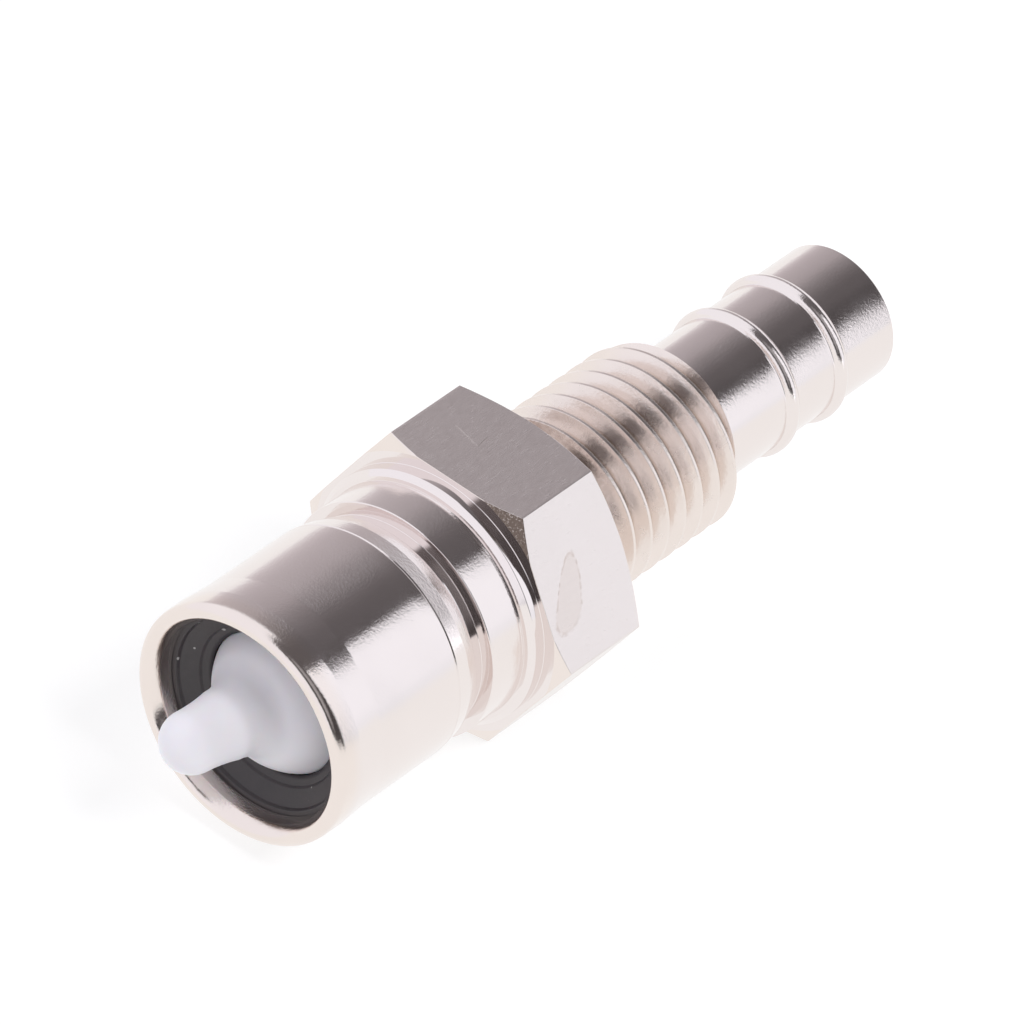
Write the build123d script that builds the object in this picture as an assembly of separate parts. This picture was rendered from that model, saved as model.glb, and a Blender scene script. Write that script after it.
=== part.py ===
from build123d import *
import math
import os

# Engine-side fuel line connector: a male quick connector on a panel thread with a hose tail.
# Everything is turned about the X axis. The hexagon's rear face, the shoulder that meets the
# panel, is at x = 0. The socket mouth points to -X and the hose tail to +X. +Z is up, and the
# connector lies on one flat of its hexagon.

# Hexagon
hex_across_flats = 17.0
hex_length = 7.2
hex_front_chamfer = 22.5        # degrees between the chamfer and the hexagon's end face
hex_rear_chamfer = 25.0
hex_chamfer_inset = 0.10        # how far inside the flats the front chamfer begins

# Socket, forward of the hexagon
socket_length = 15.9            # mouth edge to hexagon
socket_diameter = 14.96
lip_diameter = 15.24
lip_straight = 1.1              # the lip keeps its full size to here
lip_length = 3.0                # here it has blended into the barrel
lip_proud = 0.78                # the rounded rim's front stands this far ahead of the mouth edge
lip_shoulder = 0.42             # the rim's round ends this far behind the mouth edge
lip_face_radius = 6.95          # where the rim's crown lies
rim_fullness = 0.62             # where the round passes inside the lip's outer edge,
rim_inset = 0.12                # and how far inside
mouth_diameter = 12.76
mouth_land = 0.95

# Latch groove, ring and collar
taper_start = 9.55              # from the mouth edge to the turned line where the taper begins
taper_length = 1.05
taper_end_radius = 7.30
groove_lead = 0.85              # length of the steeper cone ahead of the groove
groove_front_radius = 7.04
groove_front_softening = 0.12
groove_side = 0.17              # how far the groove's front side leans
groove_floor_radius = 6.30
groove_floor_length = 0.48
ring_side = 0.27                # how far the ring's front side leans
ring_diameter = 15.0
ring_softening = 0.08
collar_length = 0.92            # ahead of the hexagon
collar_front_radius = 8.00
collar_rear_radius = 8.11
collar_side = 0.08
collar_foot = 0.15              # the ring rises over this length to the collar's side
collar_foot_rise = 0.10

# Thread M12 x 1.5
thread_diameter = 12.0
thread_allowance = 0.04         # under nominal on the diameter
thread_pitch = 1.5
thread_length = 13.4
thread_depth = 0.92
thread_crest_flat = 0.19
thread_chamfer = 0.40
thread_flank = 30.0             # degrees
thread_lead = 0.135             # how far along the ridge is moved, to stand as in the photo
ridge_sunk = 0.10               # how deep the ridge's foot lies in the core
shank_diameter = 12.0           # plain stretch beside the shoulder, where the thread runs out
shank_length = 0.9

# Hose tail
tail_diameter = 8.76
tail_length = 15.7              # thread end to tail end
bead_positions = (6.2, 10.65)   # from the thread's end
bead_height = 0.41
bead_width = 0.95
bead_sunk = 0.3                 # how deep a bead's foot lies in the tail
tail_edge = 0.22

# Inside of the body
seal_seat_diameter = 13.9
seal_seat_depth = 3.4           # from the mouth edge
chamber_diameter = 10.8
chamber_depth = 19.5            # from the mouth edge to the spring's seat
passage_diameter = 5.8
passage_mouth_chamfer = 0.35

# Rubber seal
seal_fit = 0.02                 # radial clearance in its seat
lip_contact_depth = 2.24        # the sealing edge, from the mouth edge
valve_clearance = 0.08          # between the closed ball and the rubber's spherical seat
seal_rim_radius = 6.10
seal_step_depth = 0.25
seal_step_draft = 0.08
seal_lip_radius = 5.02
seal_lip_rise = 0.10            # the funnel's end stands this far outside the lip
seal_lip_front = 0.42           # the funnel ends this far ahead of the sealing edge
seal_lip_bevel = 0.26

# Valve
ball_diameter = 10.0
ball_centre = 4.6               # from the mouth edge when closed
ball_back = 1.96                # the ball is cut off this far behind its centre
stem_diameter = 3.74
stem_reach = 8.5                # ball centre to the centre of the stem's round end
stem_fillet = 1.6
boss_diameter = 5.2
boss_length = 2.5
boss_chamfer = 0.4
valve_lean = 5.8                # degrees that the loose valve leans about its ball's centre
valve_lean_toward = 32.8        # degrees from +Y up towards +Z

# Spring
wire_diameter = 0.9
spring_diameter = 7.2           # mean
spring_turns = 4.25
spring_end_clearance = 0.06

# Places along X that follow from the sizes above
mouth_x = -(hex_length + socket_length)
thread_end_x = thread_length
tail_end_x = thread_end_x + tail_length
thread_radius = (thread_diameter - thread_allowance) / 2
core_radius = thread_radius - thread_depth
ball_centre_x = mouth_x + ball_centre
ball_back_radius = math.sqrt((ball_diameter / 2) ** 2 - ball_back**2)
chamber_end_x = mouth_x + chamber_depth


def face_of(points):
    """A flat face in the XZ plane from (x, radius) points."""
    return Plane.XZ * make_face(Polyline(*points, close=True))


def turned(face):
    """The solid that a profile face sweeps about the X axis."""
    return revolve(face, Axis.X)


def softened(face, corner, radius):
    """The face with the corner at (x, radius) rounded."""
    nearest = min(face.vertices(), key=lambda v: math.hypot(v.X - corner[0], v.Z - corner[1]))
    return fillet(nearest, radius)


def from_mouth(distance):
    """X of a place given by its distance behind the mouth edge."""
    return mouth_x + distance


def socket_outline():
    """Outside of the socket, from the rounded rim to the hexagon's front."""
    lip_r = lip_diameter / 2
    barrel_r = socket_diameter / 2
    ring_r = ring_diameter / 2
    rim_front = mouth_x - lip_proud
    mouth_r = mouth_diameter / 2
    rim = Spline(
        (mouth_x, mouth_r),
        (rim_front, lip_face_radius),
        (rim_front + rim_fullness * (lip_r - lip_face_radius), lip_r - rim_inset),
        (mouth_x + lip_shoulder, lip_r),
        tangents=((-0.9, 0.55), (1, 0)),
    )
    taper_end = from_mouth(taper_start + taper_length)
    groove_front = taper_end + groove_lead
    floor_front = groove_front + groove_side
    floor_end = floor_front + groove_floor_length
    ring_front = floor_end + ring_side
    collar_front = -hex_length - collar_length
    collar_foot_x = collar_front - collar_side
    barrel = Polyline(
        (mouth_x + lip_shoulder, lip_r),
        (from_mouth(lip_straight), lip_r),
        (from_mouth(lip_length), barrel_r),
        (from_mouth(taper_start), barrel_r),
        (taper_end, taper_end_radius),
        (groove_front, groove_front_radius),
        (floor_front, groove_floor_radius),
        (floor_end, groove_floor_radius),
        (ring_front, ring_r),
        (collar_foot_x - collar_foot, ring_r),
        (collar_foot_x, ring_r + collar_foot_rise),
        (collar_front, collar_front_radius),
        (-hex_length, collar_rear_radius),
        (-hex_length / 2, collar_rear_radius),
        (-hex_length / 2, 0),
        (mouth_x, 0),
        (mouth_x, mouth_r),
    )
    face = Plane.XZ * make_face(rim + barrel)
    face = softened(face, (groove_front, groove_front_radius), groove_front_softening)
    return softened(face, (ring_front, ring_r), ring_softening)


def hexagon():
    """The hexagon with both ends chamfered to a cone, one flat facing down."""
    apothem = hex_across_flats / 2
    corner = apothem / math.cos(math.pi / 6)
    blank = Plane.YZ.offset(-hex_length) * RegularPolygon(apothem, 6, major_radius=False)
    prism = extrude(blank, hex_length)
    front_r = apothem - hex_chamfer_inset
    front_drop = (corner + 1 - front_r) * math.tan(math.radians(hex_front_chamfer))
    rear_drop = (corner + 1 - apothem) * math.tan(math.radians(hex_rear_chamfer))
    envelope = face_of(
        [
            (-hex_length, 0),
            (-hex_length, front_r),
            (-hex_length + front_drop, corner + 1),
            (-rear_drop, corner + 1),
            (0, apothem),
            (0, 0),
        ]
    )
    return prism & turned(envelope)


def tail_outline():
    """Thread core and hose tail, turned."""
    tail_r = tail_diameter / 2
    return face_of(
        [
            (-hex_length / 2, 0),
            (-hex_length / 2, core_radius),
            (thread_end_x, core_radius),
            (thread_end_x, tail_r),
            (tail_end_x - tail_edge, tail_r),
            (tail_end_x, tail_r - tail_edge),
            (tail_end_x, 0),
        ]
    )


def bead(position):
    """One thin rounded bead round the hose tail."""
    tail_r = tail_diameter / 2
    centre = thread_end_x + position
    half = bead_width / 2
    sunk = tail_r - bead_sunk
    crown = ThreePointArc((centre - half, tail_r), (centre, tail_r + bead_height), (centre + half, tail_r))
    foot = Polyline((centre + half, tail_r), (centre + half, sunk), (centre - half, sunk), (centre - half, tail_r))
    return turned(Plane.XZ * make_face(crown + foot))


def thread_ridge():
    """The helical ridge of the thread, sunk a little into its core, before its end is trimmed."""
    flank = math.tan(math.radians(thread_flank))
    crest_half = thread_crest_flat / 2
    base_half = crest_half + (thread_depth + ridge_sunk) * flank
    path = Helix(
        thread_pitch,
        thread_length + 2 * thread_pitch,
        core_radius,
        center=(thread_lead - thread_pitch, 0, 0),
        direction=(1, 0, 0),
    )
    begin = path @ 0
    outward = Vector(0, begin.Y, begin.Z).normalized()
    along = Vector(1, 0, 0)
    profile = Polyline(
        begin - along * base_half - outward * ridge_sunk,
        begin + along * base_half - outward * ridge_sunk,
        begin + along * crest_half + outward * thread_depth,
        begin - along * crest_half + outward * thread_depth,
        close=True,
    )
    return sweep(make_face(profile), path=path, is_frenet=True)


def thread():
    """Core and ridge, cut off at the thread's chamfered end, with the plain shank fused on."""
    shank_r = shank_diameter / 2
    inside = -thread_pitch / 2
    room = 2 * thread_pitch
    blank = face_of(
        [
            (-room, 0),
            (-room, core_radius),
            (thread_length + room, core_radius),
            (thread_length + room, 0),
        ]
    )
    shank = face_of(
        [
            (inside, 0),
            (inside, shank_r),
            (shank_length, shank_r),
            (shank_length + shank_r - core_radius, core_radius),
            (shank_length + shank_r - core_radius, 0),
        ]
    )
    envelope = face_of(
        [
            (inside, 0),
            (inside, thread_radius + thread_pitch),
            (thread_end_x - thread_chamfer - thread_pitch, thread_radius + thread_pitch),
            (thread_end_x, thread_radius - thread_chamfer),
            (thread_end_x, 0),
        ]
    )
    ridged = (turned(blank) + thread_ridge()) & turned(envelope)
    return ridged + turned(shank)


def body_hollow():
    """Everything bored out of the body, from the mouth to the hose end."""
    mouth_r = mouth_diameter / 2
    seat_r = seal_seat_diameter / 2
    chamber_r = chamber_diameter / 2
    passage_r = passage_diameter / 2
    past = 2.0
    points = [
        (mouth_x - past, 0),
        (mouth_x - past, mouth_r),
        (from_mouth(mouth_land), mouth_r),
        (from_mouth(mouth_land), seat_r),
        (from_mouth(seal_seat_depth), seat_r),
        (from_mouth(seal_seat_depth), chamber_r),
        (chamber_end_x, chamber_r),
        (chamber_end_x, passage_r),
        (tail_end_x - passage_mouth_chamfer, passage_r),
        (tail_end_x, passage_r + passage_mouth_chamfer),
        (tail_end_x + past, passage_r + passage_mouth_chamfer),
        (tail_end_x + past, 0),
    ]
    return turned(face_of(points))


def connector_body():
    solid = hexagon() + thread() + turned(socket_outline()) + turned(tail_outline())
    for position in bead_positions:
        solid += bead(position)
    return solid - body_hollow()


def valve_seal():
    """Rubber ring with a funnel front and a spherical seat behind its lip."""
    seat_r = seal_seat_diameter / 2 - seal_fit
    back_x = from_mouth(seal_seat_depth)
    front_x = from_mouth(mouth_land + seal_fit)
    sphere_r = ball_diameter / 2 + valve_clearance
    lip_x = from_mouth(lip_contact_depth)
    lip_r = math.sqrt(sphere_r**2 - (ball_centre_x - lip_x) ** 2)
    step_x = front_x + seal_step_depth
    points = [
        (front_x, seat_r),
        (front_x, seal_rim_radius),
        (step_x, seal_rim_radius - seal_step_draft),
        (lip_x - seal_lip_front, seal_lip_radius + seal_lip_rise),
        (lip_x - seal_lip_bevel, seal_lip_radius),
        (lip_x, lip_r),
        (back_x, 0.0),
        (back_x, seat_r),
    ]
    ring = turned(face_of(points))
    ball_space = Pos(ball_centre_x, 0, 0) * Sphere(sphere_r)
    return ring - ball_space


def poppet_upright():
    """The valve about its ball's centre, its stem towards -X."""
    ball_r = ball_diameter / 2
    stem_r = stem_diameter / 2
    boss_r = boss_diameter / 2
    centre_r = stem_r + stem_fillet
    centre_x = -math.sqrt((ball_r + stem_fillet) ** 2 - centre_r**2)
    touch = ball_r / (ball_r + stem_fillet)
    ball_touch = (centre_x * touch, centre_r * touch)
    tip_centre = -stem_reach
    diagonal = math.sqrt(0.5)
    mid_angle = (math.atan2(-1, 0) + math.atan2(ball_touch[1] - centre_r, ball_touch[0] - centre_x)) / 2
    fillet_mid = (centre_x + stem_fillet * math.cos(mid_angle), centre_r + stem_fillet * math.sin(mid_angle))
    tip = ThreePointArc(
        (tip_centre - stem_r, 0),
        (tip_centre - stem_r * diagonal, stem_r * diagonal),
        (tip_centre, stem_r),
    )
    stem = Line((tip_centre, stem_r), (centre_x, stem_r))
    flare = ThreePointArc((centre_x, stem_r), fillet_mid, ball_touch)
    ball = ThreePointArc(ball_touch, (0, ball_r), (ball_back, ball_back_radius))
    back = Polyline(
        (ball_back, ball_back_radius),
        (ball_back, boss_r),
        (ball_back + boss_length - boss_chamfer, boss_r),
        (ball_back + boss_length, boss_r - boss_chamfer),
        (ball_back + boss_length, 0),
        (tip_centre - stem_r, 0),
    )
    return turned(Plane.XZ * make_face(tip + stem + flare + ball + back))


def valve_poppet():
    """The valve in its place, leaning about its ball's centre."""
    toward = math.radians(valve_lean_toward)
    hinge = Axis((0, 0, 0), (0, math.sin(toward), -math.cos(toward)))
    leaned = poppet_upright().rotate(hinge, valve_lean)
    return Pos(ball_centre_x, 0, 0) * leaned


def valve_spring():
    """Compression spring between the leaning valve's back and the chamber's end."""
    mean_r = spring_diameter / 2
    wire_r = wire_diameter / 2
    lean = math.radians(valve_lean)
    valve_back_x = ball_centre_x + ball_back * math.cos(lean) + (mean_r + wire_r) * math.sin(lean)
    first_x = valve_back_x + spring_end_clearance + wire_r
    last_x = chamber_end_x - spring_end_clearance - wire_r
    length = last_x - first_x
    path = Helix(length / spring_turns, length, mean_r, center=(first_x, 0, 0), direction=(1, 0, 0))
    wire = Plane(origin=path @ 0, z_dir=path % 0) * Circle(wire_r)
    return sweep(wire, path=path, is_frenet=True)


def write(name, shape):
    """Writes one sub-part's STEP file."""
    shape.label = name
    export_step(shape, os.path.join("parts", name + ".step"))


os.makedirs("parts", exist_ok=True)
write("connector_body", connector_body())
write("valve_seal", valve_seal())
write("valve_poppet", valve_poppet())
write("valve_spring", valve_spring())
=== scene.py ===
import math

import bpy
import numpy as np
from mathutils import Matrix, Vector


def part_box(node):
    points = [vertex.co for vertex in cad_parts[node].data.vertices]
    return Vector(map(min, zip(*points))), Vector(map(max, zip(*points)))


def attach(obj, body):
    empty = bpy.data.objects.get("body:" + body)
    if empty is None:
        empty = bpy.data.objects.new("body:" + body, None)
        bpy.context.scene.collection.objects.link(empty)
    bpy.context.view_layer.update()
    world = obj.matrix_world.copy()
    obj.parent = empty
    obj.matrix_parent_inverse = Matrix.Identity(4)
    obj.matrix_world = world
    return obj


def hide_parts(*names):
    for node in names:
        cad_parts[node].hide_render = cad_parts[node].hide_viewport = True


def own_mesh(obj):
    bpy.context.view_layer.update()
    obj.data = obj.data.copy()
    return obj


# Fuel line connector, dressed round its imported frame. Lengths are in millimetres and become
# metres where a mesh is made. The X axis is the connector's own axis, with x = 0 at the
# hexagon's rear face, the socket's mouth towards -X and the hose tail towards +X.
MM = 0.001

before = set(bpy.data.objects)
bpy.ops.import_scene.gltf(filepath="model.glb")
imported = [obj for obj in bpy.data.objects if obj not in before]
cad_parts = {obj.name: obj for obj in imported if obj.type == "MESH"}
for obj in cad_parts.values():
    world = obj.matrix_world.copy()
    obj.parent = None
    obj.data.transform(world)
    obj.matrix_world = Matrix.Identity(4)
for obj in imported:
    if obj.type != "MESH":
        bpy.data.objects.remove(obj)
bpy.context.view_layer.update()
body_box = [[value / MM for value in corner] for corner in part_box("connector_body")]

# Driving sizes: the solids' own, but for small shapes at the rim, groove, collar, hexagon's front and stem
hex_across_flats = 17.0
hex_length = 7.2
hex_face_back = 0.14            # the face lies this far behind the socket's end
hex_front_chamfer = 26.5
hex_rear_chamfer = 25.0
hex_front_land = 0.35           # how far outside the flats the front cone begins
socket_length = 15.9
socket_radius = 7.48
lip_radius = 7.62
lip_straight = 1.1
lip_length = 3.0
lip_proud = 0.78
lip_face_radius = 7.0
rim_fullness = 0.45
rim_inset = 0.10
mouth_radius = 6.38
mouth_land = 0.95
taper_start = 9.55
taper_length = 1.05
taper_end_radius = 7.30
turned_line_depth = 0.035       # of the fine line where the taper begins
groove_lead = 0.85
groove_front_radius = 7.04
groove_side = 0.17
groove_floor_radius = 6.70
groove_floor_length = 0.48
ring_side = 0.27
ring_wall_lean = 0.04           # the ring's front wall stands almost upright
ring_radius = 7.5
collar_length = 0.92
collar_foot_radius = 7.78
collar_bevel = 0.32             # length of the collar's sloping front
collar_rear_radius = 8.11
collar_foot = 0.15
collar_foot_rise = 0.03
thread_radius = 5.98
thread_pitch = 1.5
thread_length = 13.4
thread_depth = 0.92
thread_crest_flat = 0.19
thread_chamfer = 0.40
thread_flank = 30.0
thread_phase = 1.26             # where a crest stands on the +Y side
shank_radius = 6.0
shank_length = 0.9
tail_radius = 4.38
tail_length = 15.7
bead_positions = (6.2, 10.65)
bead_height = 0.41
bead_width = 0.95
bead_foot = ((0.12, 0.0), (0.03, 0.01))     # points of its small fillet: outside its edge, and up
tail_edge = 0.22
seal_seat_radius = 6.95
seal_seat_depth = 3.4
chamber_radius = 5.4
chamber_depth = 19.5
passage_radius = 2.9
passage_mouth_chamfer = 0.35
seal_fit = 0.02
lip_contact_depth = 2.24
valve_clearance = 0.08
seal_rim_radius = 6.10
seal_step_depth = 0.25
seal_step_drop = 0.08
seal_funnel_end = 0.42          # ahead of where the lip touches the ball
seal_lip_face = 0.26
seal_lip_radius = 5.02
ball_radius = 5.0
ball_centre = 4.6
ball_back = 1.96
stem_radius = 1.87
stem_reach = 8.5
stem_fillet = 2.8
stem_swell = 0.25               # the stem widens by this much towards the ball
boss_radius = 2.6
boss_length = 2.5
boss_chamfer = 0.4
valve_lean = 5.8
valve_lean_toward = 32.8
wire_radius = 0.45
spring_radius = 3.6
spring_turns = 4.25
spring_end_clearance = 0.06

# Places and radii that follow from them
mouth_x = -(hex_length + socket_length)
tail_end_x = thread_length + tail_length
ball_centre_x = mouth_x + ball_centre
ball_back_radius = math.sqrt(ball_radius**2 - ball_back**2)
chamber_end_x = mouth_x + chamber_depth
hex_apothem = hex_across_flats / 2
hex_face_x = hex_face_back - hex_length
taper_start_x = mouth_x + taper_start
taper_end_x = taper_start_x + taper_length
groove_front_x = taper_end_x + groove_lead
groove_floor_x = groove_front_x + groove_side
ring_front_x = groove_floor_x + groove_floor_length + ring_side
collar_front_x = -hex_length - collar_length
thread_core_radius = thread_radius - thread_depth

# Steps of the meshes
ROUND_STEPS = 240
SEAL_STEPS = 160
POPPET_STEPS = 128
SPRING_STEPS = 60                                   # in one turn
WIRE_SIDES = 16
CORNER_EXTRA = (-0.9, -0.6, -0.3, 0.3, 0.6, 0.9)    # degrees beside a hexagon corner
HEX_EDGE_ROUND = 0.07
SHARPEST = math.cos(math.radians(40))               # faces that meet more sharply don't blend
WELD_DISTANCE = 0.0008
CORNER_SHARE = 0.45                                 # most of a side that one rounded corner takes
HAIR = 0.03                                         # a step too small to see


# Small helpers for outlines
def rounded(points, steps=4):
    """Corners (x, r, radius) as a smooth outline: each corner with a radius becomes an arc."""
    out = []
    for i, (x, r, radius) in enumerate(points):
        if radius <= 0 or i in (0, len(points) - 1):
            out.append((x, r))
            continue
        corner = Vector((x, r))
        before = Vector(points[i - 1][:2]) - corner
        after = Vector(points[i + 1][:2]) - corner
        turn = before.angle(after)
        cut = min(radius / math.tan(turn / 2), CORNER_SHARE * before.length, CORNER_SHARE * after.length)
        start = corner + before.normalized() * cut
        end = corner + after.normalized() * cut
        for k in range(steps + 1):
            t = k / steps
            point = start * (1 - t) ** 2 + corner * 2 * t * (1 - t) + end * t**2
            out.append((point.x, point.y))
    return out


def divided(points, longest):
    """The outline with no step longer than the given length."""
    out = [points[0]]
    for a, b in zip(points, points[1:]):
        count = max(1, math.ceil(math.dist(a, b) / longest))
        along, up = b[0] - a[0], b[1] - a[1]
        out += [(a[0] + along * k / count, a[1] + up * k / count) for k in range(1, count + 1)]
    return out


def arc(cx, cr, radius, start, end, steps):
    """Points on an arc, angles in degrees from +X towards +R."""
    angles = np.radians(np.linspace(start, end, steps + 1))
    return [(cx + radius * math.cos(a), cr + radius * math.sin(a)) for a in angles]


def from_mouth(distance):
    return mouth_x + distance


# Mesh building
def new_object(name, vertices, faces, body):
    mesh = bpy.data.meshes.new(name)
    mesh.from_pydata([tuple(MM * c for c in v) for v in vertices], [], faces)
    mesh.validate()
    mesh.polygons.foreach_set("use_smooth", [True] * len(mesh.polygons))
    mesh.update()
    obj = bpy.data.objects.new(name, mesh)
    bpy.context.scene.collection.objects.link(obj)
    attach(obj, body)
    return obj


def weld(obj, distance):
    modifier = obj.modifiers.new("weld", "WELD")
    modifier.merge_threshold = distance * MM
    apply_modifiers(obj)


def weight_normals(obj):
    """Lets the large faces set the normals, so that flat walls shade flat up to their edges."""
    mesh = obj.data
    normals = [face.normal.copy() for face in mesh.polygons]
    pushes = [face.normal * (face.area / MM**2) for face in mesh.polygons]
    around = [[] for _ in mesh.vertices]
    for face in mesh.polygons:
        for vertex in face.vertices:
            around[vertex].append(face.index)
    blended = []
    for face in mesh.polygons:
        own = normals[face.index]
        for vertex in face.vertices:
            total = Vector((0, 0, 0))
            for other in around[vertex]:
                if own.dot(normals[other]) > SHARPEST:
                    total += pushes[other]
            blended.append(total.normalized())
    mesh.normals_split_custom_set(blended)


def apply_modifiers(obj):
    """Bakes the modifiers into the mesh, which keeps its place."""
    graph = bpy.context.evaluated_depsgraph_get()
    baked = bpy.data.meshes.new_from_object(obj.evaluated_get(graph))
    obj.modifiers.clear()
    obj.data = baked


def ring_angles():
    """Angles round the axis in degrees, closer beside the hexagon's corners."""
    step = 360 / ROUND_STEPS
    angles = [k * step for k in range(ROUND_STEPS)]
    for corner in range(6):
        angles += [(60 * corner + extra) % 360 for extra in CORNER_EXTRA]
    return sorted(set(round(a, 4) for a in angles))


def closed_lathe(rows, angles, shifted=None):
    """Vertices and faces of a closed outline swept round the axis.

    rows holds one outline per angle, all with as many points. Where a helix runs through the
    outline, shifted gives (first, last, turn): the points that move on by one turn at the seam.
    """
    count = len(rows[0])
    vertices = []
    for angle, row in zip(angles, rows):
        a = math.radians(angle)
        vertices += [(x, r * math.cos(a), r * math.sin(a)) for x, r in row]
    faces = []
    rings = len(angles)
    for j in range(rings):
        seam = j == rings - 1
        k = (j + 1) % rings
        for i in range(count):
            n = (i + 1) % count
            b, c = i, n
            if seam and shifted:
                b, c = seam_index(i, shifted), seam_index(n, shifted)
            faces.append((j * count + i, k * count + b, k * count + c, j * count + n))
    return vertices, faces


def seam_index(i, shifted):
    first, last, turn = shifted
    if first <= i <= last:
        return min(i + turn, last)
    return i


# Thread, as an outline that moves along with the angle
CREST_ROUND = 0.035
ROOT_ROUND = 0.06
RIDGES = 11


def ridge_points():
    """One ridge and the root before it, as (offset along the pitch, height)."""
    flank = math.tan(math.radians(thread_flank))
    crest = thread_crest_flat / 2
    foot = crest + thread_depth * flank
    outline = [
        (-thread_pitch / 2, 0, 0),
        (-foot, 0, ROOT_ROUND),
        (-crest, thread_depth, CREST_ROUND),
        (crest, thread_depth, CREST_ROUND),
        (foot, 0, ROOT_ROUND),
        (thread_pitch / 2, 0, 0),
    ]
    return rounded(outline, 2)[:-1]


RIDGE = ridge_points()


def thread_height(offset):
    """Height of the thread's outline above its core at an offset from a crest."""
    wrapped = (offset + thread_pitch / 2) % thread_pitch - thread_pitch / 2
    xs = [p[0] for p in RIDGE] + [thread_pitch / 2]
    hs = [p[1] for p in RIDGE] + [0]
    return float(np.interp(wrapped, xs, hs))


def thread_row(angle):
    """The thread's outline at one angle, between the plain shank and the chamfered end."""
    lead = thread_phase + thread_pitch * angle / 360
    row = []
    for k in range(-2, RIDGES - 2):
        for offset, height in RIDGE:
            x = thread_pitch * k + lead + offset
            if x > thread_length:
                height = thread_height(thread_length - thread_pitch * k - lead)
                x = thread_length
            x = max(x, 0.0)
            least = shank_radius - max(0.0, x - shank_length)
            most = thread_radius - thread_chamfer + (thread_length - x)
            radius = min(max(thread_core_radius + height, least), most)
            row.append((x, shank_radius if x <= shank_length else radius))
    nearest = min(range(len(row)), key=lambda i: abs(row[i][0] - shank_length))
    row[nearest] = (shank_length, shank_radius)
    return row


# Outlines of the metal body
def hex_radius(angle):
    """Distance from the axis to the hexagon's side, its corners a little rounded."""
    from_corner = (angle + 30) % 60 - 30
    phi = math.radians(abs(from_corner))
    flat = hex_apothem / math.cos(math.radians(30) - phi)
    centre = (hex_apothem - HEX_EDGE_ROUND) / math.cos(math.radians(30))
    inside = HEX_EDGE_ROUND**2 - (centre * math.sin(phi)) ** 2
    if inside <= 0:
        return flat
    return min(flat, centre * math.cos(phi) + math.sqrt(inside))


def hermite(knots, steps):
    """A smooth curve through (point, tangent) knots."""
    out = [knots[0][0]]
    for (p, m), (q, n) in zip(knots, knots[1:]):
        for k in range(1, steps + 1):
            t = k / steps
            a = 2 * t**3 - 3 * t**2 + 1
            b = t**3 - 2 * t**2 + t
            c = 3 * t**2 - 2 * t**3
            d = t**3 - t**2
            out.append(tuple(a * p[i] + b * m[i] + c * q[i] + d * n[i] for i in (0, 1)))
    return out


def rim_points():
    """The socket's rounded rim, from the mouth edge to the outside of the lip, as (point, tangent)."""
    front = mouth_x - lip_proud
    return hermite(
        [
            ((mouth_x, mouth_radius), (-0.80, 0.34)),
            ((front, lip_face_radius), (-0.02, 0.72)),
            ((front + rim_fullness * (lip_radius - lip_face_radius), lip_radius - rim_inset), (0.36, 0.26)),
            ((mouth_x, lip_radius), (0.60, 0)),
        ],
        7,
    )


def socket_points():
    """Outside of the socket from the mouth edge to the hexagon's face."""
    outline = [
        (mouth_x, lip_radius, 0),
        (from_mouth(lip_straight), lip_radius, 0.8),
        (from_mouth(lip_length), socket_radius, 2.0),
        (taper_start_x - 0.10, socket_radius, 0),
        (taper_start_x - 0.03, socket_radius - turned_line_depth, 0.02),
        (taper_start_x + 0.06, socket_radius - 0.01, 0.02),
        (taper_end_x, taper_end_radius, 0.5),
        (groove_front_x, groove_front_radius, 0.12),
        (groove_floor_x, groove_floor_radius, 0.05),
        (ring_front_x - ring_wall_lean, groove_floor_radius, 0.05),
        (ring_front_x, ring_radius, 0.07),
        (collar_front_x - collar_foot, ring_radius, 0.1),
        (collar_front_x, ring_radius + collar_foot_rise, 0.02),
        (collar_front_x + 0.02, collar_foot_radius, 0.02),
        (collar_front_x + collar_bevel, collar_rear_radius, 0.05),
        (hex_face_x - HAIR, collar_rear_radius, 0),
    ]
    return rim_points()[:-1] + divided(rounded(outline, 3), 0.8)


def hexagon_row(angle):
    """The hexagon's section at one angle, from its front face to the thread."""
    side = hex_radius(angle)
    cone_r = hex_apothem + hex_front_land
    front = max(side - cone_r, 0.02) * math.tan(math.radians(hex_front_chamfer))
    rear = max(side - hex_apothem, 0) * math.tan(math.radians(hex_rear_chamfer))
    outline = [
        (hex_face_x, collar_rear_radius, 0),
        (hex_face_x, min(cone_r, side - HAIR), 0.02),
        (hex_face_x + front, side, 0.07),
        (-rear, side, 0.06),
        (0, hex_apothem - 0.02, 0.02),
        (0, shank_radius, 0),
    ]
    return [(hex_face_x, collar_rear_radius + HAIR)] + rounded(outline, 3)[1:]


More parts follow.
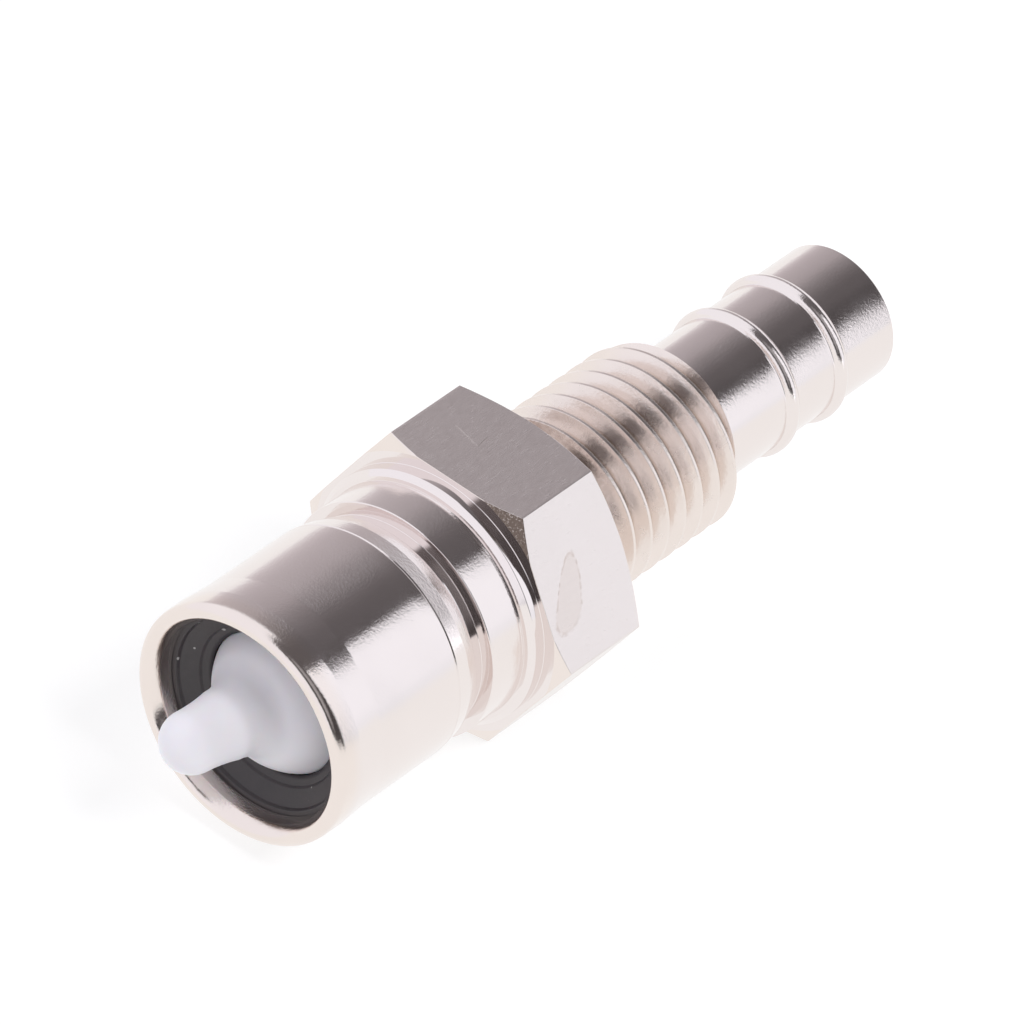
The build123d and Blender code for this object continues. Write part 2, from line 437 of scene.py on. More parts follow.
def tail_points():
    """Outside of the hose tail from the thread's end face to the passage's mouth."""
    outline = [(thread_length, thread_core_radius - 0.05, 0), (thread_length, tail_radius, 0.25)]
    points = rounded(outline + [(thread_length + 1.0, tail_radius, 0)])
    for position in bead_positions:
        centre = thread_length + position
        half = bead_width / 2
        radius = (half**2 + bead_height**2) / (2 * bead_height)
        sweep = math.degrees(math.asin(min(1.0, half / radius)))
        points += [(centre - half - out, tail_radius + up) for out, up in bead_foot]
        crest = tail_radius + bead_height - radius
        points += arc(centre, crest, radius, 90 + sweep - 5, 90 - sweep + 5, 10)
        points += [(centre + half + out, tail_radius + up) for out, up in reversed(bead_foot)]
    edge = [
        (tail_end_x - 1.0, tail_radius, 0),
        (tail_end_x - tail_edge, tail_radius, 0.05),
        (tail_end_x, tail_radius - tail_edge, 0.05),
        (tail_end_x, passage_radius + passage_mouth_chamfer, 0.04),
        (tail_end_x - passage_mouth_chamfer, passage_radius, 0.04),
        (tail_end_x - 1.0, passage_radius, 0),
    ]
    return divided(points + rounded(edge), 0.9)


def inside_points():
    """Inside of the body from the hose end back to the mouth edge."""
    outline = [
        (tail_end_x - 1.2, passage_radius, 0),
        (chamber_end_x, passage_radius, 0.05),
        (chamber_end_x, chamber_radius, 0.1),
        (from_mouth(seal_seat_depth), chamber_radius, 0.05),
        (from_mouth(seal_seat_depth), seal_seat_radius, 0.05),
        (from_mouth(mouth_land), seal_seat_radius, 0.05),
        (from_mouth(mouth_land), mouth_radius, 0.04),
        (mouth_x + 0.04, mouth_radius, 0),
    ]
    return divided(rounded(outline, 3), 2.0)


def make_body():
    """The one metal piece, with its hexagon and thread in the same skin."""
    angles = ring_angles()
    outside = socket_points()
    tail = tail_points()
    inside = inside_points()
    rows = []
    for angle in angles:
        rows.append(outside + hexagon_row(angle) + thread_row(angle) + tail + inside)
    first = len(outside) + len(hexagon_row(0))
    last = first + len(RIDGE) * RIDGES - 1
    vertices, faces = closed_lathe(rows, angles, (first, last, len(RIDGE)))
    body = new_object("connector_body_metal", vertices, faces, "housing")
    weld(body, WELD_DISTANCE)
    weight_normals(body)
    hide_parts("connector_body")
    return body


def make_seal():
    """The rubber ring with its stepped funnel front and its lip on the ball."""
    sphere = ball_radius + valve_clearance
    lip_x = from_mouth(lip_contact_depth)
    lip_r = math.sqrt(sphere**2 - (ball_centre_x - lip_x) ** 2)
    back_x = from_mouth(seal_seat_depth)
    back_r = math.sqrt(sphere**2 - (ball_centre_x - back_x) ** 2)
    front_x = from_mouth(mouth_land + seal_fit)
    outer = seal_seat_radius - seal_fit
    start = math.degrees(math.atan2(lip_r, lip_x - ball_centre_x))
    end = math.degrees(math.atan2(back_r, back_x - ball_centre_x))
    seat = arc(ball_centre_x, 0, sphere, start, end, 10)
    outline = [
        (back_x, (outer + back_r) / 2, 0),
        (back_x, outer, 0.1),
        (front_x, outer, 0.08),
        (front_x, seal_rim_radius, 0.10),
        (front_x + seal_step_depth, seal_rim_radius - seal_step_drop, 0.10),
        (lip_x - seal_funnel_end, seal_lip_radius + 0.1, 0.12),
        (lip_x - seal_lip_face, seal_lip_radius, 0.12),
        (seat[0][0], seat[0][1], 0),
    ]
    points = divided(rounded(outline), 0.5) + seat[1:]
    angles = [k * 360 / SEAL_STEPS for k in range(SEAL_STEPS)]
    vertices, faces = closed_lathe([points] * len(angles), angles)
    seal = new_object("valve_seal_rubber", vertices, faces, "housing")
    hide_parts("valve_seal")
    return seal


def spun(points, count):
    """A lathe mesh whose outline begins and ends on the axis."""
    vertices = [(points[0][0], 0, 0)]
    inner = points[1:-1]
    for j in range(count):
        a = 2 * math.pi * j / count
        vertices += [(x, r * math.cos(a), r * math.sin(a)) for x, r in inner]
    vertices.append((points[-1][0], 0, 0))
    m = len(inner)
    faces = []
    for j in range(count):
        k = (j + 1) % count
        faces.append((0, 1 + k * m, 1 + j * m))
        for i in range(m - 1):
            faces.append((1 + j * m + i, 1 + k * m + i, 1 + k * m + i + 1, 1 + j * m + i + 1))
        faces.append((1 + j * m + m - 1, 1 + k * m + m - 1, len(vertices) - 1))
    return vertices, faces


def make_poppet():
    """The white valve: round-ended stem, flare, ball, flat back and spring boss."""
    base_r = stem_radius + stem_swell
    centre_r = base_r + stem_fillet
    centre_x = -math.sqrt((ball_radius + stem_fillet) ** 2 - centre_r**2)
    touch = math.degrees(math.atan2(centre_r, centre_x))
    rear = math.degrees(math.atan2(ball_back_radius, ball_back))
    inward = math.degrees(math.atan2(-centre_r, -centre_x))
    points = arc(-stem_reach, 0, stem_radius, 180, 90, 16)
    points[0] = (-stem_reach - stem_radius, 0)
    for k in range(1, 9):
        share = k / 8
        points.append((-stem_reach + (centre_x + stem_reach) * share, stem_radius + stem_swell * share**2))
    points += arc(centre_x, centre_r, stem_fillet, -90, inward, 14)[1:]
    points += arc(0, 0, ball_radius, touch, rear, 30)[1:]
    back = [
        (ball_back, ball_back_radius - 0.01, 0),
        (ball_back, boss_radius, 0.1),
        (ball_back + boss_length - boss_chamfer, boss_radius, 0.05),
        (ball_back + boss_length, boss_radius - boss_chamfer, 0.05),
        (ball_back + boss_length, 0, 0),
    ]
    points += divided(rounded(back), 0.5)
    vertices, faces = spun(points, POPPET_STEPS)
    toward = math.radians(valve_lean_toward)
    axis = Vector((0, math.sin(toward), -math.cos(toward)))
    lean = Matrix.Rotation(math.radians(valve_lean), 3, axis)
    moved = [lean @ Vector(v) + Vector((ball_centre_x, 0, 0)) for v in vertices]
    poppet = new_object("valve_poppet_white", moved, faces, "valve")
    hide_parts("valve_poppet")
    return poppet


def make_spring():
    """The spring's wire, coiled from behind the ball to the chamber's end."""
    lean = math.radians(valve_lean)
    back = ball_centre_x + ball_back * math.cos(lean) + (spring_radius + wire_radius) * math.sin(lean)
    first = back + spring_end_clearance + wire_radius
    last = chamber_end_x - spring_end_clearance - wire_radius
    steps = int(spring_turns * SPRING_STEPS)
    sides = WIRE_SIDES
    advance = (last - first) / spring_turns / (2 * math.pi)
    vertices = []
    for k in range(steps + 1):
        a = 2 * math.pi * spring_turns * k / steps
        outward = Vector((0, math.sin(a), math.cos(a)))
        centre = Vector((first + (last - first) * k / steps, 0, 0)) + spring_radius * outward
        along = Vector((advance, spring_radius * math.cos(a), -spring_radius * math.sin(a))).normalized()
        across = along.cross(outward)
        for s in range(sides):
            b = 2 * math.pi * s / sides
            vertices.append(centre + wire_radius * (math.cos(b) * outward + math.sin(b) * across))
    faces = []
    for k in range(steps):
        for s in range(sides):
            t = (s + 1) % sides
            faces.append((k * sides + s, k * sides + t, (k + 1) * sides + t, (k + 1) * sides + s))
    faces.append(tuple(reversed(range(sides))))
    faces.append(tuple(steps * sides + s for s in range(sides)))
    spring = new_object("valve_spring_wire", vertices, faces, "housing")
    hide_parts("valve_spring")
    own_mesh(spring)
    return spring


# Node helpers
class Nodes:
    """Short calls for building one node tree."""

    def __init__(self, tree):
        self.tree = tree
        self.place = 0

    def add(self, kind, **settings):
        node = self.tree.nodes.new(kind)
        node.location = (180 * (self.place % 12), -220 * (self.place // 12))
        self.place += 1
        for key, value in settings.items():
            setattr(node, key, value)
        return node

    def link(self, source, target):
        self.tree.links.new(source, target)

    def set(self, node, socket, value):
        """Sets a socket to a number or colour, or links another socket to it."""
        target = node.inputs[socket]
        if isinstance(value, bpy.types.NodeSocket):
            self.link(value, target)
        else:
            target.default_value = value

    def math(self, operation, a, b=0.0, c=None):
        node = self.add("ShaderNodeMath", operation=operation)
        self.set(node, 0, a)
        self.set(node, 1, b)
        if c is not None:
            self.set(node, 2, c)
        return node.outputs[0]

    def times(self, a, b):
        return self.math("MULTIPLY", a, b)

    def plus(self, a, b):
        return self.math("ADD", a, b)

    def minus(self, a, b):
        return self.math("SUBTRACT", a, b)

    def object_point(self):
        """The point in the part's frame, in millimetres."""
        coords = self.add("ShaderNodeTexCoord")
        scale = self.add("ShaderNodeVectorMath", operation="SCALE")
        self.link(coords.outputs["Object"], scale.inputs[0])
        scale.inputs["Scale"].default_value = 1 / MM
        return scale.outputs[0]

    def axes(self, point):
        split = self.add("ShaderNodeSeparateXYZ")
        self.link(point, split.inputs[0])
        return split.outputs[0], split.outputs[1], split.outputs[2]

    def radius(self, y, z):
        """Distance from the connector's axis."""
        return self.math("SQRT", self.plus(self.times(y, y), self.times(z, z)))

    def mark(self, x, y, a, b, width):
        """Mask of a thin straight mark from a to b in two coordinates."""
        length = math.dist(a, b)
        ux, uy = (b[0] - a[0]) / length, (b[1] - a[1]) / length
        dx = self.minus(x, a[0])
        dy = self.minus(y, a[1])
        along = self.plus(self.times(dx, ux), self.times(dy, uy))
        across = self.minus(self.times(dy, ux), self.times(dx, uy))
        thin = self.ranged(self.math("ABSOLUTE", across), width, 0.3 * width)
        middle = self.math("ABSOLUTE", self.minus(along, length / 2))
        return self.times(thin, self.ranged(middle, length / 2, length / 2 - 0.1))

    def stretched(self, point, scale, shift=(0, 0, 0)):
        node = self.add("ShaderNodeMapping")
        self.link(point, node.inputs["Vector"])
        node.inputs["Scale"].default_value = scale
        node.inputs["Location"].default_value = shift
        return node.outputs[0]

    def noise(self, point, scale, detail=3.0, roughness=0.5):
        node = self.add("ShaderNodeTexNoise")
        self.link(point, node.inputs["Vector"])
        node.inputs["Scale"].default_value = scale
        node.inputs["Detail"].default_value = detail
        node.inputs["Roughness"].default_value = roughness
        return node.outputs["Fac"]

    def ranged(self, value, low, high, to_low=0.0, to_high=1.0, smooth=False):
        node = self.add("ShaderNodeMapRange")
        if smooth:
            node.interpolation_type = "SMOOTHSTEP"
        self.link(value, node.inputs["Value"])
        node.inputs["From Min"].default_value = low
        node.inputs["From Max"].default_value = high
        node.inputs["To Min"].default_value = to_low
        node.inputs["To Max"].default_value = to_high
        return node.outputs["Result"]

    def mixed(self, share, a, b):
        """Colour a, with the given share of colour b."""
        node = self.add("ShaderNodeMix", data_type="RGBA")
        self.set(node, "Factor", share)
        for index, value in ((6, a), (7, b)):
            if isinstance(value, bpy.types.NodeSocket):
                self.link(value, node.inputs[index])
            else:
                node.inputs[index].default_value = (*value, 1)
        return node.outputs[2]

    def bump(self, height, strength, distance):
        """Normals of a surface with the given height, the distance in millimetres."""
        node = self.add("ShaderNodeBump")
        self.link(height, node.inputs["Height"])
        node.inputs["Strength"].default_value = strength
        node.inputs["Distance"].default_value = distance * MM
        return node.outputs["Normal"]


def new_material(name):
    material = bpy.data.materials.new(name)
    material.use_nodes = True
    tree = material.node_tree
    shader = tree.nodes["Principled BSDF"]
    return material, Nodes(tree), shader


# Materials
NICKEL_DEEP = (0.832, 0.748, 0.700)
NICKEL_PALE = (0.872, 0.790, 0.745)
NICKEL_COOL = (0.862, 0.806, 0.796)
NICKEL_SATIN = (0.80, 0.755, 0.745)
DRIED_POOL = (0.62, 0.50, 0.42)
DRIED_RING = (0.45, 0.33, 0.26)
SCRATCHED = (0.40, 0.34, 0.30)
# Painted shade in the thread's roots
ROOT_SHADE_BROWN = (0.44, 0.31, 0.22)
BROWN_NEAR_HEX = (0.33, 0.22, 0.15)
BROWN_CORNER = (0.17, 0.125, 0.10)
DUST = (0.42, 0.41, 0.40)

# Ends of the two scratches on the top flat, as (x, y)
LONG_SCRATCH = ((-3.4, 2.85), (-3.85, 0.75))
SHORT_SCRATCH = ((-3.85, 0.75), (-2.75, 0.95))

# The dried stain on the flat that leans 60 degrees from the top one
FLAT_TURN = math.radians(60)
STAIN_PLACE = (-4.665, -0.56)                       # along the connector, and along the flat
STAIN_ENDS = (-2.6, 1.5)                            # along the flat
STAIN_HALF_WIDTHS = (1.35, 0.70)                    # at those ends
STAIN_HALF_LENGTH = 2.15
STAIN_LEAN = 0.42


def nickel(nodes, point):
    """Warm white nickel, a little clouded."""
    return nodes.mixed(nodes.noise(point, 0.35, 2.0), NICKEL_DEEP, NICKEL_PALE)


def barrel_metal():
    """Bright nickel over a finely peened barrel, with small pits and specks."""
    material, nodes, shader = new_material("nickel_barrel")
    point = nodes.object_point()
    fine = nodes.noise(point, 6.5, 3.0, 0.6)
    pits = nodes.ranged(nodes.noise(point, 5.5, 1.0), 0.74, 0.84, smooth=True)
    height = nodes.minus(fine, nodes.times(pits, 0.3))
    x = nodes.axes(point)[0]
    behind_rim = nodes.ranged(x, mouth_x + 0.1, mouth_x + 1.2, 0.0, 0.6, smooth=True)
    nodes.link(nodes.mixed(behind_rim, nickel(nodes, point), NICKEL_COOL), shader.inputs["Base Color"])
    nodes.link(nodes.ranged(nodes.noise(point, 0.5, 2.0), 0.3, 0.7, 0.12, 0.16), shader.inputs["Roughness"])
    shader.inputs["Metallic"].default_value = 1.0
    nodes.link(nodes.bump(height, 0.25, 0.03), shader.inputs["Normal"])
    return material


def turned_metal():
    """The smooth turned walls of the groove, the collar and the hexagon's front face."""
    material, nodes, shader = new_material("nickel_turned")
    point = nodes.object_point()
    nodes.link(nodes.mixed(0.75, nickel(nodes, point), NICKEL_COOL), shader.inputs["Base Color"])
    nodes.link(nodes.ranged(nodes.noise(point, 0.7, 2.0), 0.3, 0.7, 0.07, 0.10), shader.inputs["Roughness"])
    shader.inputs["Metallic"].default_value = 1.0
    return material


def flat_metal():
    """The hexagon's drawn flats: satin, with fine grain, stray scratches and one dried stain."""
    material, nodes, shader = new_material("nickel_flats")
    point = nodes.object_point()
    x, y, z = nodes.axes(point)
    grain = nodes.noise(nodes.stretched(point, (1.6, 9.0, 9.0)), 1.0, 4.0, 0.65)
    lengthwise = nodes.stretched(point, (0.35, 7.0, 7.0), (3, 1, 2))
    stray = nodes.ranged(nodes.noise(lengthwise, 1.0, 1.0), 0.70, 0.76)
    top = nodes.ranged(z, hex_apothem - 0.2, hex_apothem - 0.1)
    bend = nodes.times(nodes.minus(nodes.noise(point, 2.0, 2.0), 0.5), 0.12)
    long_mark = nodes.mark(nodes.plus(x, bend), y, *LONG_SCRATCH, 0.035)
    short_mark = nodes.mark(x, nodes.plus(y, bend), *SHORT_SCRATCH, 0.030)
    marks = nodes.times(nodes.math("MAXIMUM", long_mark, short_mark), top)
    scratch = nodes.math("MAXIMUM", nodes.times(stray, 0.5), marks)
    height = nodes.minus(grain, scratch)
    ring, pool = stain(nodes, point, x, y, z)
    colour = nodes.mixed(0.5, nickel(nodes, point), NICKEL_SATIN)
    colour = nodes.mixed(nodes.times(pool, 0.22), colour, DRIED_POOL)
    colour = nodes.mixed(nodes.times(ring, 0.30), colour, DRIED_RING)
    colour = nodes.mixed(nodes.times(marks, 0.6), colour, SCRATCHED)
    nodes.link(colour, shader.inputs["Base Color"])
    nodes.link(nodes.ranged(grain, 0.3, 0.7, 0.20, 0.28), shader.inputs["Roughness"])
    shader.inputs["Metallic"].default_value = 1.0
    nodes.link(nodes.bump(height, 0.22, 0.03), shader.inputs["Normal"])
    return material


def stain(nodes, point, x, y, z):
    """Masks for the outline and the inside of the dried drop on one flat."""
    sine, cosine = math.sin(FLAT_TURN), math.cos(FLAT_TURN)
    along = nodes.plus(nodes.times(y, cosine), nodes.times(z, sine))
    height = nodes.minus(nodes.times(z, cosine), nodes.times(y, sine))
    face = nodes.ranged(height, hex_apothem - 0.15, hex_apothem - 0.05)
    width = nodes.ranged(along, *STAIN_ENDS, *STAIN_HALF_WIDTHS)
    middle = nodes.math("MULTIPLY_ADD", along, STAIN_LEAN, STAIN_PLACE[0])
    u = nodes.math("DIVIDE", nodes.minus(x, middle), width)
    v = nodes.math("DIVIDE", nodes.minus(along, STAIN_PLACE[1]), STAIN_HALF_LENGTH)
    blunt = nodes.math("POWER", nodes.math("ABSOLUTE", v), 1.35)
    squares = nodes.plus(nodes.times(u, u), nodes.times(blunt, blunt))
    wobble = nodes.times(nodes.minus(nodes.noise(point, 0.9, 2.0), 0.5), 0.3)
    reach = nodes.plus(nodes.math("SQRT", squares), wobble)
    pool = nodes.times(nodes.ranged(reach, 1.05, 0.90, smooth=True), face)
    off = nodes.math("ABSOLUTE", nodes.minus(reach, 0.97))
    patchy = nodes.ranged(nodes.noise(point, 2.6, 2.0), 0.40, 0.60)
    ring = nodes.times(nodes.ranged(off, 0.13, 0.02, smooth=True), patchy)
    return nodes.times(ring, face), pool


def thread_metal():
    """The thread: creamy nickel, with painted brown shade in the roots, and browner in patches on its upper
    side near the hexagon.
    """
    material, nodes, shader = new_material("nickel_thread")
    point = nodes.object_point()
    x, y, z = nodes.axes(point)
    fine = nodes.noise(point, 4.0, 3.0, 0.6)
    cloud = nodes.noise(point, 0.9, 3.0)
    depth = nodes.plus(nodes.radius(y, z), nodes.times(cloud, 0.25))
    # Painted shade: the thread's roots turn brown towards the core.
    root = nodes.ranged(depth, thread_core_radius + 0.36, thread_core_radius + 0.14, smooth=True)
    # Browner in patches on the thread's upper side near the hexagon.
    near = nodes.ranged(nodes.plus(x, nodes.times(cloud, 1.5)), 4.4, 3.2, smooth=True)
    upper = nodes.ranged(z, 3.5, 5.0)
    darker_near_hex = nodes.times(nodes.times(near, upper), nodes.ranged(fine, 0.42, 0.55))
    colour = nodes.mixed(nodes.times(root, 0.40), nickel(nodes, point), ROOT_SHADE_BROWN)
    colour = nodes.mixed(nodes.times(darker_near_hex, 0.30), colour, BROWN_NEAR_HEX)
    nodes.link(colour, shader.inputs["Base Color"])
    nodes.link(nodes.ranged(cloud, 0.3, 0.7, 0.20, 0.29), shader.inputs["Roughness"])
    shader.inputs["Metallic"].default_value = 1.0
    nodes.link(nodes.bump(fine, 0.25, 0.05), shader.inputs["Normal"])
    return material


def chamfer_metal():
    """The hexagon's end cones: smooth near the axis, rough and stained out towards one corner of the front
    cone.
    """
    material, nodes, shader = new_material("nickel_chamfer")
    point = nodes.object_point()
    x, y, z = nodes.axes(point)
    ground = nodes.noise(point, 8.0, 3.0, 0.7)
    patch = nodes.noise(point, 1.1, 3.0)
    reach = nodes.plus(nodes.radius(y, z), nodes.times(patch, 0.3))
    sine, cosine = math.sin(FLAT_TURN / 2), math.cos(FLAT_TURN / 2)
    toward = nodes.minus(nodes.times(z, cosine), nodes.times(y, sine))
    beside = nodes.ranged(toward, hex_apothem - 0.15, hex_apothem + 0.10, smooth=True)
    out = nodes.ranged(reach, hex_apothem + 0.42, hex_apothem + 0.52, smooth=True)
    ahead = nodes.ranged(x, -hex_length / 2 + 0.2, -hex_length / 2 - 0.2)
    outer = nodes.times(nodes.times(out, ahead), beside)
    speck = nodes.ranged(ground, 0.28, 0.46, smooth=True)
    stained = nodes.times(outer, speck)
    colour = nodes.mixed(nodes.times(stained, 0.92), nickel(nodes, point), BROWN_CORNER)
    nodes.link(colour, shader.inputs["Base Color"])
    nodes.link(nodes.math("MULTIPLY_ADD", outer, 0.22, 0.13), shader.inputs["Roughness"])
    shader.inputs["Metallic"].default_value = 1.0
    height = nodes.times(ground, nodes.math("MULTIPLY_ADD", outer, 0.96, 0.04))
    nodes.link(nodes.bump(height, 0.7, 0.10), shader.inputs["Normal"])
    return material


def inside_metal():
    """The bored inside, plain, its darker colour painted shade in the bore."""
    material, nodes, shader = new_material("nickel_inside")
    point = nodes.object_point()
    turned_lines = nodes.noise(nodes.stretched(point, (9.0, 0.6, 0.6)), 1.0, 2.0)
    # Painted shade: the bore's colour is darker than the outside nickel.
    colour = nodes.mixed(turned_lines, (0.50, 0.43, 0.37), (0.62, 0.55, 0.49))
    nodes.link(colour, shader.inputs["Base Color"])
    nodes.link(nodes.ranged(turned_lines, 0.3, 0.7, 0.3, 0.4), shader.inputs["Roughness"])
    shader.inputs["Metallic"].default_value = 1.0
    nodes.link(nodes.bump(turned_lines, 0.3, 0.03), shader.inputs["Normal"])
    return material


def rubber():
    """Black rubber, greyish where it is dusty, with a few pale specks."""
    material, nodes, shader = new_material("black_rubber_seal")
    point = nodes.object_point()
    cloud = nodes.noise(point, 0.9, 3.0)
    specks = nodes.ranged(nodes.noise(point, 2.7, 0.0), 0.835, 0.86, smooth=True)
    base = nodes.mixed(cloud, (0.029, 0.024, 0.026), (0.060, 0.050, 0.053))
    colour = nodes.mixed(specks, base, DUST)
    nodes.link(colour, shader.inputs["Base Color"])
    nodes.link(nodes.ranged(cloud, 0.3, 0.7, 0.36, 0.48), shader.inputs["Roughness"])
    nodes.link(nodes.bump(nodes.noise(point, 6.0, 2.0), 0.2, 0.03), shader.inputs["Normal"])
    return material


def acetal():
    """Satin white moulded plastic with a faint cool tint."""
    material, nodes, shader = new_material("white_acetal_valve")
    point = nodes.object_point()
    cloud = nodes.noise(point, 0.5, 2.0)
    colour = nodes.mixed(cloud, (0.84, 0.825, 0.875), (0.87, 0.855, 0.90))
    nodes.link(colour, shader.inputs["Base Color"])
    nodes.link(nodes.ranged(cloud, 0.3, 0.7, 0.38, 0.46), shader.inputs["Roughness"])
    shader.inputs["Subsurface Weight"].default_value = 0.15
    shader.inputs["Subsurface Scale"].default_value = 0.6 * MM
    nodes.link(nodes.bump(nodes.noise(point, 2.0, 2.0), 0.05, 0.03), shader.inputs["Normal"])
    return material


def spring_steel():
    """Drawn stainless wire."""
    material, nodes, shader = new_material("spring_steel_wire")
    point = nodes.object_point()
    drawn = nodes.noise(point, 2.2, 3.0)
    colour = nodes.mixed(drawn, (0.55, 0.54, 0.53), (0.68, 0.67, 0.66))
    nodes.link(colour, shader.inputs["Base Color"])
    nodes.link(nodes.ranged(drawn, 0.3, 0.7, 0.22, 0.32), shader.inputs["Roughness"])
    shader.inputs["Metallic"].default_value = 1.0
    nodes.link(nodes.bump(drawn, 0.2, 0.02), shader.inputs["Normal"])
    return material


# Zones of the metal body, in the order of its materials
BARREL, FLAT, CHAMFER, THREAD, INSIDE, TURNED = range(6)


def dress_body(body):
    """Gives each zone of the metal body its own finish."""
    finishes = (barrel_metal(), flat_metal(), chamfer_metal(), thread_metal(), inside_metal(), turned_metal())
    for material in finishes:
        body.data.materials.append(material)
    zones = []
    for face in body.data.polygons:
        centre = face.center / MM
        radius = math.hypot(centre.y, centre.z)
        sideways = math.hypot(face.normal.y, face.normal.z)
        outward = (face.normal.y * centre.y + face.normal.z * centre.z) / max(radius, 0.01)
        zone = BARREL
        in_hex = -hex_length - 0.01 < centre.x < 0.01
        in_groove = groove_front_x < centre.x < ring_front_x + 0.02 and radius > groove_floor_radius - 0.1
        in_collar = collar_front_x - 0.02 < centre.x < hex_face_x - 0.01 and radius > ring_radius
        on_face = abs(centre.x - hex_face_x) < 0.015 and sideways < 0.2 and radius > collar_rear_radius
        if outward < -0.5 and radius < seal_seat_radius + 0.1 and centre.x > mouth_x + mouth_land:
            zone = INSIDE
        elif in_groove or in_collar or on_face:
            zone = TURNED
        elif in_hex and radius > hex_apothem - 0.6 and sideways > 0.95:
            zone = FLAT
        elif in_hex and radius > hex_apothem - 0.4:
            zone = CHAMFER
        elif 0 <= centre.x < thread_length + 0.05 and radius > tail_radius + 0.2:
            zone = THREAD
        elif radius < chamber_radius and centre.x < chamber_end_x + 0.2:
            zone = INSIDE
        zones.append(zone)
    body.data.polygons.foreach_set("material_index", zones)


# Studio
CARD_PLACE = (62.5, -80, 70.75)
CARD_SIZE = (75, 158.5)
CARD_EDGE = 0.02                                    # how softly the cut behind the card begins
FLOOR_REACH = 900
DARK_TINT = (1, 0.92, 0.965)
GLOW_TOWARD = (-0.40, -0.65, 0.65)                  # the pale patch in the dark side of the room
GLOW_COLOUR = (0.45, 0.44, 0.46)
WHITE_WALL = (1.0, 1.0, 1.06)


def clear_of_card(nodes, x, y):
    """0 behind the white card as seen from the connector, which adds its own light there, else 1."""
    slope = nodes.math("DIVIDE", x, nodes.times(nodes.math("MINIMUM", y, -0.0001), -1.0))
    near = (CARD_PLACE[0] - CARD_SIZE[0] / 2) / -CARD_PLACE[1]
    far = (CARD_PLACE[0] + CARD_SIZE[0] / 2) / -CARD_PLACE[1]
    past_near = nodes.ranged(slope, near - CARD_EDGE, near)
    before_far = nodes.ranged(slope, far + CARD_EDGE, far)
    return nodes.minus(1.0, nodes.times(past_near, before_far))


def make_world():
    """A white room, dark overhead and on the side from which the connector is looked at."""
    world = bpy.data.worlds.new("studio")
    bpy.context.scene.world = world
    world.use_nodes = True
    tree = world.node_tree
    nodes = Nodes(tree)
    coords = nodes.add("ShaderNodeTexCoord")
    x, y, z = nodes.axes(coords.outputs["Generated"])
    beyond = nodes.minus(y, nodes.times(z, 0.15))
    behind = nodes.ranged(beyond, -0.04, 0.06, smooth=True)
    far_side = nodes.times(behind, nodes.ranged(x, 0.60, 0.40, smooth=True))
    left_side = nodes.ranged(x, -0.72, -0.78, smooth=True)
    right_side = nodes.ranged(x, 0.78, 0.88, smooth=True)
    white = nodes.math("MAXIMUM", nodes.math("MAXIMUM", far_side, left_side), right_side)
    below = nodes.times(nodes.ranged(z, 0.01, -0.01), clear_of_card(nodes, x, y))
    white = nodes.math("MAXIMUM", white, below)
    angle = nodes.math("ARCTAN2", z, nodes.times(y, -1.0))
    ramp = nodes.add("ShaderNodeValToRGB")
    nodes.link(nodes.math("DIVIDE", angle, math.pi), ramp.inputs["Fac"])
    # Brightness over the connector, by degrees up from the viewer's side
    stops = (
        (0, 0.06),
        (60, 0.09),
        (72, 0.12),
        (86, 0.13),
        (101, 0.18),
        (116, 0.26),
        (132, 0.41),
        (151, 0.48),
        (162, 0.52),
        (174, 0.63),
        (180, 0.74),
    )
    elements = ramp.color_ramp.elements
    while len(elements) < len(stops):
        elements.new(0.5)
    for element, (degrees, value) in zip(elements, stops):
        element.position = degrees / 180
        element.color = (*(value * tint for tint in DARK_TINT), 1)
    facing = nodes.add("ShaderNodeVectorMath", operation="DOT_PRODUCT")
    nodes.link(coords.outputs["Generated"], facing.inputs[0])
    facing.inputs[1].default_value = GLOW_TOWARD
    glow = nodes.ranged(facing.outputs["Value"], 0.80, 0.95, 0.0, 0.8, smooth=True)
    glow = nodes.times(glow, nodes.ranged(x, -0.56, -0.44, smooth=True))
    shade = nodes.mixed(glow, ramp.outputs["Color"], GLOW_COLOUR)
    room = nodes.mixed(white, shade, WHITE_WALL)
    paths = nodes.add("ShaderNodeLightPath")
    shown = nodes.mixed(paths.outputs["Is Camera Ray"], room, (1, 1, 1))
    background = tree.nodes["Background"]
    nodes.link(shown, background.inputs["Color"])
    background.inputs["Strength"].default_value = 1.0


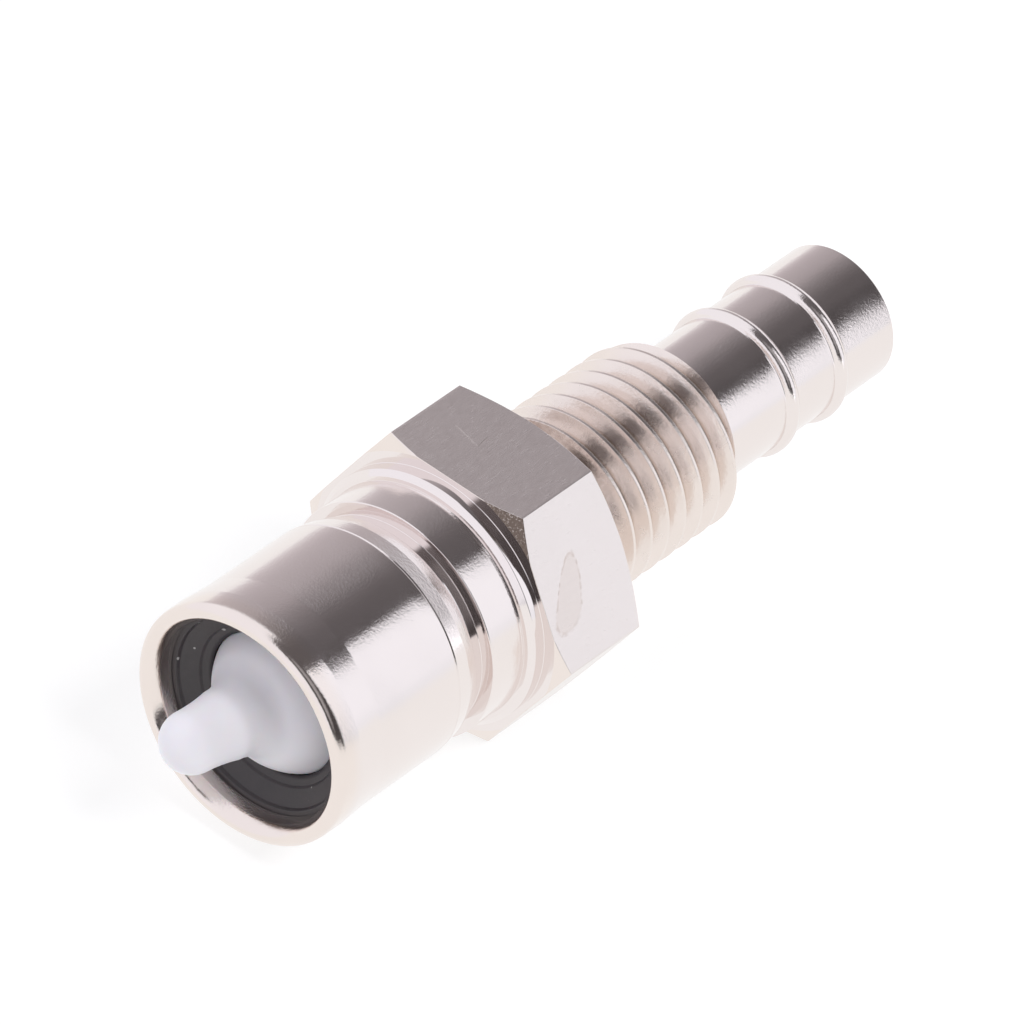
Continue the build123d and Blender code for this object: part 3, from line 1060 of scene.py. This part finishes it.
def make_floor():
    """A white sheet under the hexagon: plain white light, and to the eye a soft shadow too."""
    level = body_box[0][2]
    corners = [(FLOOR_REACH * i, FLOOR_REACH * j, level) for i, j in ((-1, -1), (1, -1), (1, 1), (-1, 1))]
    mesh = bpy.data.meshes.new("floor")
    mesh.from_pydata([tuple(MM * c for c in v) for v in corners], [], [(0, 1, 2, 3)])
    floor = bpy.data.objects.new("floor", mesh)
    bpy.context.scene.collection.objects.link(floor)
    material, nodes, shader = new_material("floor_white")
    shader.inputs["Base Color"].default_value = (0.40, 0.40, 0.40, 1)
    shader.inputs["Roughness"].default_value = 0.9
    shader.inputs["Specular IOR Level"].default_value = 0.0
    shader.inputs["Emission Color"].default_value = (1, 1, 1, 1)
    shader.inputs["Emission Strength"].default_value = 0.69
    glow = nodes.add("ShaderNodeEmission")
    glow.inputs["Color"].default_value = (1, 1, 1, 1)
    x, y = nodes.axes(nodes.object_point())[:2]
    before_card = nodes.ranged(y, CARD_PLACE[1] - 2, CARD_PLACE[1] + 2)
    shown = nodes.math("MAXIMUM", clear_of_card(nodes, x, y), before_card)
    nodes.link(shown, glow.inputs["Strength"])
    paths = nodes.add("ShaderNodeLightPath")
    choice = nodes.add("ShaderNodeMixShader")
    nodes.link(paths.outputs["Is Camera Ray"], choice.inputs["Fac"])
    nodes.link(glow.outputs["Emission"], choice.inputs[1])
    nodes.link(shader.outputs["BSDF"], choice.inputs[2])
    nodes.link(choice.outputs["Shader"], nodes.tree.nodes["Material Output"].inputs["Surface"])
    floor.data.materials.append(material)


def make_lamp(name, place, aim, width, height, level):
    """A soft rectangular lamp whose face has the given brightness."""
    data = bpy.data.lights.new(name, "AREA")
    data.shape = "RECTANGLE"
    data.size = width * MM
    data.size_y = height * MM
    data.energy = level * math.pi * width * height * MM**2
    lamp = bpy.data.objects.new(name, data)
    bpy.context.scene.collection.objects.link(lamp)
    lamp.location = Vector(place) * MM
    lamp.rotation_euler = Vector(aim).to_track_quat("-Z", "Y").to_euler()
    lamp.visible_camera = False
    return lamp


def make_lamps():
    """The white card beside the connector, and two lamps that metal doesn't mirror."""
    card = make_lamp("white_card", CARD_PLACE, (0, 1, 0), *CARD_SIZE, 1.0)
    card.data.color = (0.98, 1.0, 1.06)
    above = make_lamp("soft_above", (-60, 230, 330), (60, -230, -330), 180, 180, 0.5)
    above.visible_glossy = False
    side = make_lamp("soft_side", (-10, -220, 300), (-15, 220, -300), 150, 150, 9.5)
    side.visible_glossy = False


# Camera: place and aim found by fitting the photograph's edges
camera_place = (-405.22, -280.11, 433.94)
camera_right = (0.645626, -0.754913, 0.115210)
camera_down = (-0.448608, -0.497022, -0.742779)
camera_forward = (0.617995, 0.427873, -0.659550)
camera_lens = 406.6


def make_camera():
    """The photograph's camera, its axes turned to Blender's."""
    data = bpy.data.cameras.new("camera")
    data.sensor_width = 36
    data.sensor_height = 36
    data.lens = camera_lens
    data.clip_start = 0.01
    data.clip_end = 10
    camera = bpy.data.objects.new("camera", data)
    bpy.context.scene.collection.objects.link(camera)
    right, up, back = Vector(camera_right), -Vector(camera_down), -Vector(camera_forward)
    turn = Matrix((right, up, back)).transposed().to_4x4()
    camera.matrix_world = Matrix.Translation(Vector(camera_place) * MM) @ turn
    bpy.context.scene.camera = camera


make_camera()
make_world()
make_floor()
make_lamps()
body = make_body()
dress_body(body)
make_seal().data.materials.append(rubber())
make_poppet().data.materials.append(acetal())
make_spring().data.materials.append(spring_steel())

bpy.context.scene.view_settings.view_transform = "Standard"
